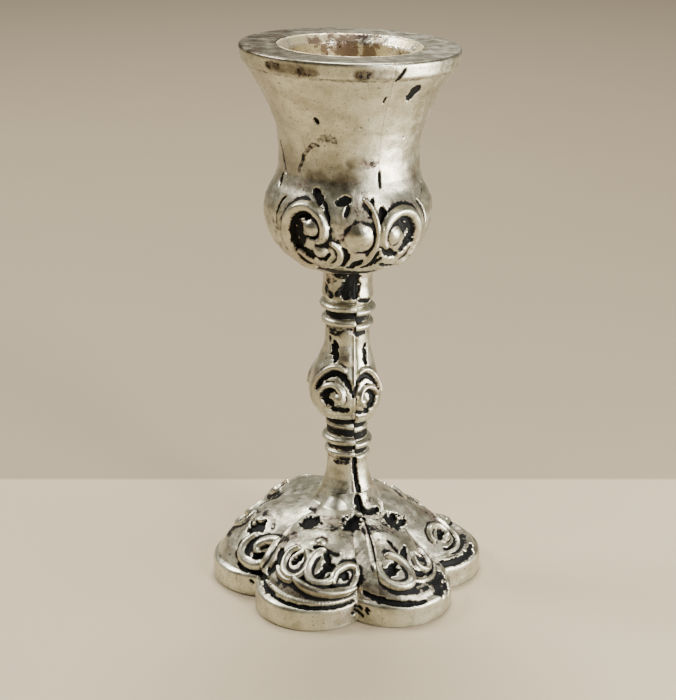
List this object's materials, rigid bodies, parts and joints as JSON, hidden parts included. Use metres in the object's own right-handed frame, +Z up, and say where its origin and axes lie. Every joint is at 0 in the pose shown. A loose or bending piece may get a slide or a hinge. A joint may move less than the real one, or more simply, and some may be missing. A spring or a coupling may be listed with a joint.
{
  "type": "candlestick",
  "caption": "Small cast silver-plated candlestick with a flared candle cup, a ringed baluster stem and a lobed, scrolled foot.",
  "frame": {"origin": "middle of the felt's underside, on the surface that the candlestick stands on", "axes": "+Z up the stem, the front is -Y, +X to the right of a viewer in front"},
  "size_m": [0.0516, 0.0488, 0.1013],
  "materials": {
    "silver_plate": "worn silver plate, warm and soft-glossed, with black oxide left in every recess",
    "liner_silver": "thin spun silver-plated sheet, brighter than the castings, with brown wax stains",
    "zinc_steel": "zinc-plated steel, dull",
    "felt": "dark green wool felt"
  },
  "bodies": {
    "root": {"cup_left_half": "silver_plate", "cup_right_half": "silver_plate", "socket_liner": "liner_silver", "stem_left_half": "silver_plate", "stem_right_half": "silver_plate", "foot_left_half": "silver_plate", "foot_right_half": "silver_plate", "felt_pad": "felt", "tie_rod": "zinc_steel", "cup_nut": "zinc_steel", "foot_washer": "zinc_steel", "spring_washer": "zinc_steel", "foot_nut": "zinc_steel"}
  },
  "joints": []
}
